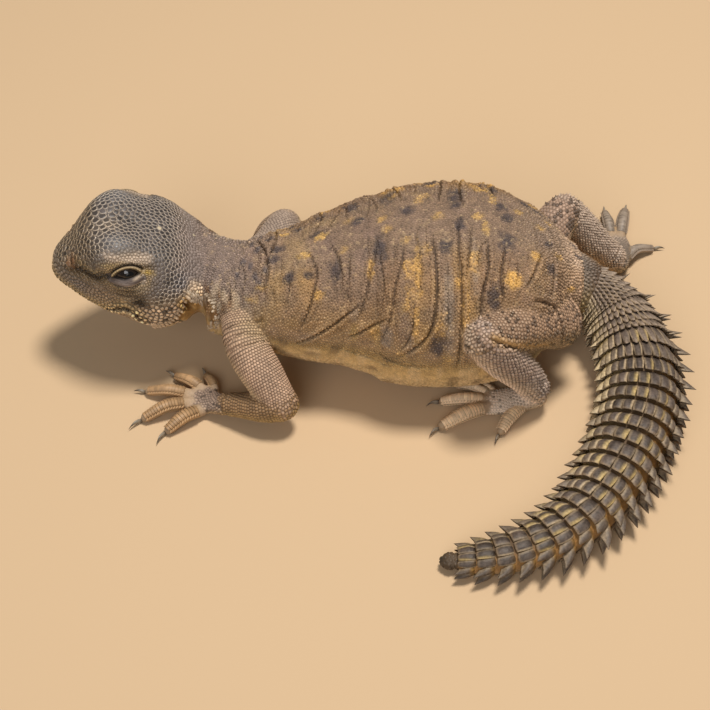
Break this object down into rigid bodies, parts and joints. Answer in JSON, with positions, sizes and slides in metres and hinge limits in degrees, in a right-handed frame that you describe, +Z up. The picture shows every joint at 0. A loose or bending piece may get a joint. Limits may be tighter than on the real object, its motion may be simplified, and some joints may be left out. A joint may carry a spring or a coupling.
{
  "type": "spiny-tailed lizard",
  "caption": "Young uromastyx lizard, life size, at rest on the floor with its head raised and its spiny ringed tail curled round beside it.",
  "frame": {"origin": "on the floor, under the centre of the box round the whole animal", "axes": "+X runs from head to tail, -Y is the animal's left side, the side that the tail curls to, and +Z is up"},
  "size_m": [0.103, 0.086, 0.0274],
  "materials": {
    "head_skin": "dark slate plates with pale lines between them, satin",
    "body_skin": "grey-brown granular scales with dark and gold spots, matt",
    "limb_skin": "grey-brown scales in rows, matt",
    "foot_skin": "sandy banded toe scales, matt",
    "tail_plates": "dark horny spined plates in rings with yellow-cream edges, satin",
    "eye": "wet dark eye",
    "claw": "translucent grey-brown horn with dark tips"
  },
  "bodies": {
    "root": {"belly": "body_skin", "chest": "body_skin", "claw_foot_left_1": "claw", "claw_foot_left_2": "claw", "claw_foot_left_3": "claw", "claw_foot_left_4": "claw", "claw_foot_left_5": "claw", "claw_foot_right_1": "claw", "claw_foot_right_2": "claw", "claw_foot_right_3": "claw", "claw_foot_right_4": "claw", "claw_foot_right_5": "claw", "claw_hand_left_1": "claw", "claw_hand_left_2": "claw", "claw_hand_left_3": "claw", "claw_hand_left_4": "claw", "claw_hand_left_5": "claw", "claw_hand_right_1": "claw", "claw_hand_right_2": "claw", "claw_hand_right_3": "claw", "claw_hand_right_4": "claw", "claw_hand_right_5": "claw", "eye_left": "eye", "eye_right": "eye", "foot_left": "foot_skin", "foot_right": "foot_skin", "forearm_left": "limb_skin", "forearm_right": "limb_skin", "hand_left": "foot_skin", "hand_right": "foot_skin", "head": "head_skin", "hips": "body_skin", "lower_jaw": "head_skin", "neck": "body_skin", "shin_left": "limb_skin", "shin_right": "limb_skin", "tail_1": "tail_plates", "tail_2": "tail_plates", "tail_3": "tail_plates", "tail_4": "tail_plates", "tail_5": "tail_plates", "thigh_left": "limb_skin", "thigh_right": "limb_skin", "upper_arm_left": "limb_skin", "upper_arm_right": "limb_skin"}
  },
  "joints": []
}
